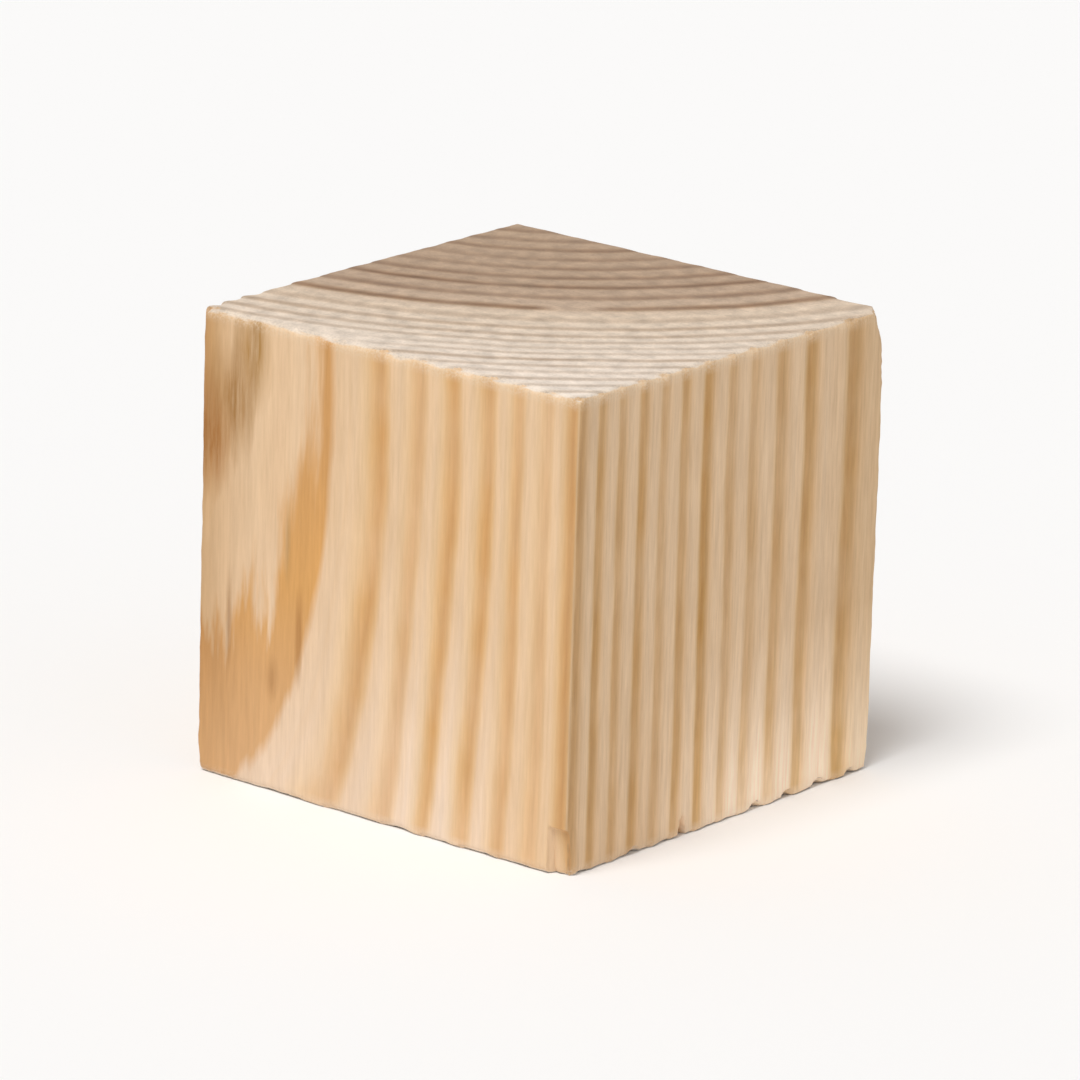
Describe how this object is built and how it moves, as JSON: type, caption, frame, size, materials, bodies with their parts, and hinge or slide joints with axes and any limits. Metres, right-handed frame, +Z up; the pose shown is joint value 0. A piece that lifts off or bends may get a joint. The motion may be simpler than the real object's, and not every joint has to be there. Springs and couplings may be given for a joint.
{
  "type": "wooden cube",
  "caption": "Solid cube of planed softwood with growth rings raised along its sides, arcs on its sawn ends, scalloped rims and a chipped corner; rests on a sawn end.",
  "frame": {"origin": "centre of the sawn end that the block rests on", "axes": "+Z up along the grain, +X out of the right side with its close straight grain, -Y out of the front side; the heart of the tree lies beyond the back left edge, towards -X and +Y"},
  "size_m": [0.045, 0.045, 0.045],
  "materials": {
    "softwood": "planed and brushed, unfinished"
  },
  "bodies": {
    "root": {"wooden_cube": "softwood"}
  },
  "joints": []
}
